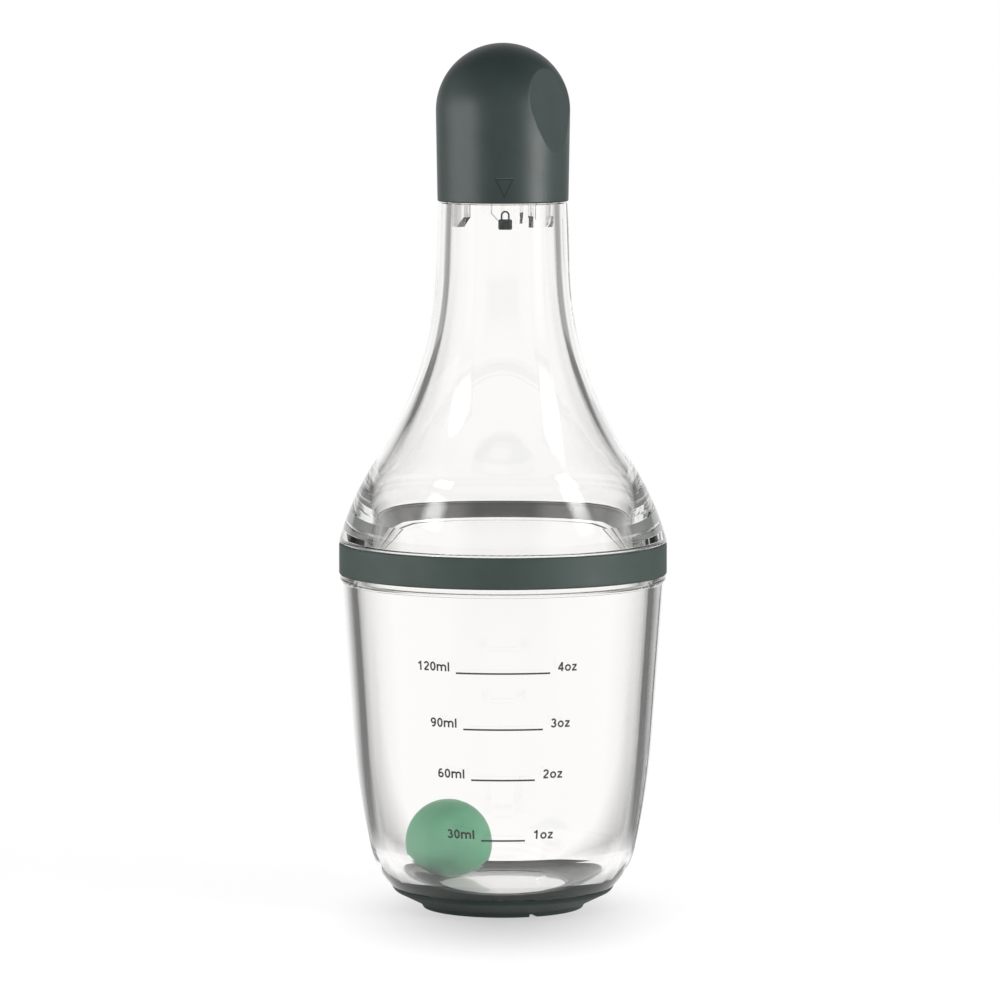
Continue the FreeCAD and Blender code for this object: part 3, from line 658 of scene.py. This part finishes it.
def make_world():
    """White for the camera, the graded backdrop in mirrors and through the clear plastic.

    Matt surfaces get plain light, which is less from overhead."""
    world = bpy.data.worlds.new("studio")
    bpy.context.scene.world = world
    world.use_nodes = True
    tree = world.node_tree
    tree.nodes.clear()
    path = tree.nodes.new("ShaderNodeLightPath").outputs
    direction = coordinates(tree, "Generated")
    kind = "ShaderNodeBackground"
    rise = split(tree, direction)["Z"]
    turn = turn_from_back(tree, direction)
    shade = ramp_value(tree, rise, *OVERHEAD_STARTS, 1, OVERHEAD_LIGHT)
    wide = backdrop_light(tree, turn, WIDE_ENDS, WIDE_DARK)
    wide = math_node(tree, "MULTIPLY", wide, ramp_value(tree, rise, *WIDE_RISE, 1, 0))
    narrow = backdrop_light(tree, turn, BACKDROP_ENDS, BACKDROP_DARK)
    light = math_node(tree, "MAXIMUM", wide, narrow)
    plain = lamp_shader(tree, kind, math_node(tree, "MULTIPLY", AMBIENT, shade))
    mirrored = lamp_shader(tree, kind, math_node(tree, "MULTIPLY", light, shade))
    look = mix_shaders(tree, path["Is Glossy Ray"], plain, mirrored)
    clear = math_node(tree, "MAXIMUM", light, open_sides(tree, turn))
    look = mix_shaders(tree, path["Is Transmission Ray"], look, lamp_shader(tree, kind, clear))
    look = mix_shaders(tree, scattered_share(tree, path), look, plain)
    look = mix_shaders(tree, path["Is Camera Ray"], look, lamp_shader(tree, kind, WHITE))
    output = tree.nodes.new("ShaderNodeOutputWorld")
    tree.links.new(look, output.inputs["Surface"])


def stage_material(name):
    material = bpy.data.materials.new(name)
    material.use_nodes = True
    material.node_tree.nodes.clear()
    return material, material.node_tree


def painted_contact_shade(tree, spot):
    """Painted shadow: less light on the floor round the foot, in a soft ellipse a little to the
    front.
    """
    squeezed = tree.nodes.new("ShaderNodeVectorMath")
    squeezed.operation = "MULTIPLY"
    squeezed.inputs[1].default_value = (1, CONTACT_SQUEEZE, 1)
    tree.links.new(spot, squeezed.inputs[0])
    contact = tree.nodes.new("ShaderNodeVectorMath")
    contact.operation = "DISTANCE"
    contact.inputs[1].default_value = (0, -CONTACT_SQUEEZE * CONTACT_FRONT, 0)
    tree.links.new(squeezed.outputs["Vector"], contact.inputs[0])
    return ramp_value(tree, contact.outputs["Value"], 0, CONTACT_REACH, CONTACT_LIGHT, 1, True)


def floor_seen(tree, kind, spot, away):
    """What the camera sees of the floor: paper that takes the shadow, with a painted contact
    shadow, and goes over into white.
    """
    painted_shade = painted_contact_shade(tree, spot)
    lit = tree.nodes.new("ShaderNodeBsdfDiffuse")
    tree.links.new(math_node(tree, "MULTIPLY", FLOOR_SEEN, painted_shade), lit.inputs["Color"])
    glow = lamp_shader(tree, kind, math_node(tree, "MULTIPLY", FLOOR_GLOW, painted_shade))
    both = tree.nodes.new("ShaderNodeAddShader")
    tree.links.new(lit.outputs["BSDF"], both.inputs[0])
    tree.links.new(glow, both.inputs[1])
    far = ramp_value(tree, away, *SHADOW_ENDS, 0, 1, True)
    return mix_shaders(tree, far, both.outputs["Shader"], lamp_shader(tree, kind, WHITE))


def floor_lights(tree, spot, away):
    """Light of the floor in mirrored rays, and in rays that leave the clear walls, with painted
    shade under the foot and the ball's painted shadow.
    """
    near = ramp_value(tree, away, *NEAR_FLOOR, 1, 0)
    turn = turn_from_back(tree, spot)
    wide = backdrop_light(tree, turn, WIDE_ENDS, WIDE_DARK)
    wide = math_node(tree, "MULTIPLY", wide, ramp_value(tree, away, *FAR_FLOOR, 0, 1))
    narrow = backdrop_light(tree, turn, BACKDROP_ENDS, BACKDROP_DARK)
    light = math_node(tree, "MAXIMUM", math_node(tree, "MAXIMUM", near, wide), narrow)
    past = ramp_value(tree, turn, *MIRRORED_TURN, 1, 0)
    for ends, start, end in ((MIRRORED_NEAR, 1, 0), (MIRRORED_FAR, 0, 1)):
        past = math_node(tree, "MAXIMUM", past, ramp_value(tree, away, *ends, start, end))
    clear = math_node(tree, "MULTIPLY", open_sides(tree, turn), past)
    clear = math_node(tree, "MAXIMUM", light, clear)
    # Painted shade under the foot, deepest on the ball's side as its painted shadow
    painted_ball_shadow = ramp_value(tree, split(tree, spot)["X"], *BALL_SIDE, BALL_SHADOW_LIGHT, 1)
    under = math_node(tree, "MULTIPLY", painted_ball_shadow, UNDER_FOOT_LIGHT)
    under = math_node(tree, "MAXIMUM", under, ramp_value(tree, away, *UNDER_FOOT, 0, 1))
    return [math_node(tree, "MULTIPLY", strength, under) for strength in (light, clear)]


def make_floor():
    """Pale floor that keeps the bottle's shadow, with a painted contact shadow, and runs into the
    white backdrop.
    """
    turns = [2 * math.pi * i / FLOOR_SEGMENTS for i in range(FLOOR_SEGMENTS)]
    ring = [(FLOOR_RADIUS * math.cos(t), FLOOR_RADIUS * math.sin(t), 0) for t in turns]
    floor = mesh_object("floor", ring, [list(range(FLOOR_SEGMENTS))])
    material, tree = stage_material("floor_paper")
    kind = "ShaderNodeEmission"
    path = tree.nodes.new("ShaderNodeLightPath").outputs
    spot = coordinates(tree, "Object")
    length = tree.nodes.new("ShaderNodeVectorMath")
    length.operation = "LENGTH"
    tree.links.new(spot, length.inputs[0])
    away = length.outputs["Value"]
    paper = tree.nodes.new("ShaderNodeBsdfDiffuse")
    paper.inputs["Color"].default_value = (FLOOR_PAPER, FLOOR_PAPER, FLOOR_PAPER, 1)
    look = paper.outputs["BSDF"]
    rays = "Is Glossy Ray", "Is Transmission Ray"
    for ray, strength in zip(rays, floor_lights(tree, spot, away)):
        look = mix_shaders(tree, path[ray], look, lamp_shader(tree, kind, strength))
    plain = lamp_shader(tree, kind, FLOOR_PAPER * AMBIENT)
    look = mix_shaders(tree, scattered_share(tree, path), look, plain)
    look = mix_shaders(tree, path["Is Camera Ray"], look, floor_seen(tree, kind, spot, away))
    output = tree.nodes.new("ShaderNodeOutputMaterial")
    tree.links.new(look, output.inputs["Surface"])
    dress(floor, material)


def make_softbox(name, turn, distance, middle, width, height, strength, receivers):
    """Upright light card that faces the bottle and fades towards its edges.

    Sharp mirror images show it weakly, and it can't be seen through the clear walls.
    A card with receivers is different: it lights those pieces alone, and in full."""
    corners = [(-width / 2, -height / 2, 0), (width / 2, -height / 2, 0),
               (width / 2, height / 2, 0), (-width / 2, height / 2, 0)]
    card = mesh_object(name, corners, [[0, 1, 2, 3]])
    card.location = (distance * math.sin(turn), -distance * math.cos(turn), middle)
    card.rotation_euler = (math.pi / 2, 0, turn)
    material, tree = stage_material(name)
    parts = split(tree, coordinates(tree, "Object"))
    light = strength
    for axis, length in (("X", width), ("Y", height)):
        away = math_node(tree, "ABSOLUTE", parts[axis])
        fade = ramp_value(tree, away, SOFTBOX_EVEN * length / 2, length / 2, 1, 0, True)
        light = math_node(tree, "MULTIPLY", light, fade)
    path = tree.nodes.new("ShaderNodeLightPath").outputs
    share = 1 if receivers else MIRROR_SHARE
    sharp = ramp_value(tree, path["Is Singular Ray"], 0, 1, 1, share)
    scattered = scattered_share(tree, path)
    light = math_node(tree, "MULTIPLY", light, math_node(tree, "MAXIMUM", sharp, scattered))
    look = lamp_shader(tree, "ShaderNodeEmission", light)
    if receivers:
        card.light_linking.receiver_collection = receivers
    else:
        unseen = math_node(tree, "SUBTRACT", path["Is Transmission Ray"], scattered)
        nothing = tree.nodes.new("ShaderNodeBsdfTransparent").outputs["BSDF"]
        look = mix_shaders(tree, unseen, look, nothing)
    output = tree.nodes.new("ShaderNodeOutputMaterial")
    tree.links.new(look, output.inputs["Surface"])
    dress(card, material)
    card.visible_camera = False


def make_lights():
    bell_only = bpy.data.collections.new("bell_only")
    bell_only.objects.link(nodes["upper_bell"])
    for name, sizes in SOFTBOXES.items():
        make_softbox(name, *sizes, bell_only if name in BELL_ONLY else None)


def make_camera():
    camera = bpy.data.cameras.new("camera")
    camera.sensor_width = SENSOR_WIDTH
    camera.lens = FOCAL_LENGTH_PX * SENSOR_WIDTH / IMAGE_WIDTH_PX
    holder = link(bpy.data.objects.new("camera", camera))
    holder.location = (CAMERA_SIDE, -CAMERA_BACK, CAMERA_HEIGHT)
    holder.rotation_euler = (math.pi / 2 - CAMERA_PITCH, 0, 0)
    bpy.context.scene.camera = holder


clear = clear_plastic()
ink = printing_ink("printing_ink")
# Painted shade and painted highlight of the pointer's groove, in the ink's matt finish
shade = printing_ink("groove_shade")
edge = printing_ink("groove_painted_highlight")
dress_nodes(clear)
measuring_marks(ink)
padlock(ink)
pointer(shade, edge)
make_world()
make_floor()
make_lights()
make_camera()
bpy.context.scene.view_settings.view_transform = "Standard"
for kind in ("max_bounces", "glossy_bounces", "transmission_bounces"):
    setattr(bpy.context.scene.cycles, kind, WALL_BOUNCES)
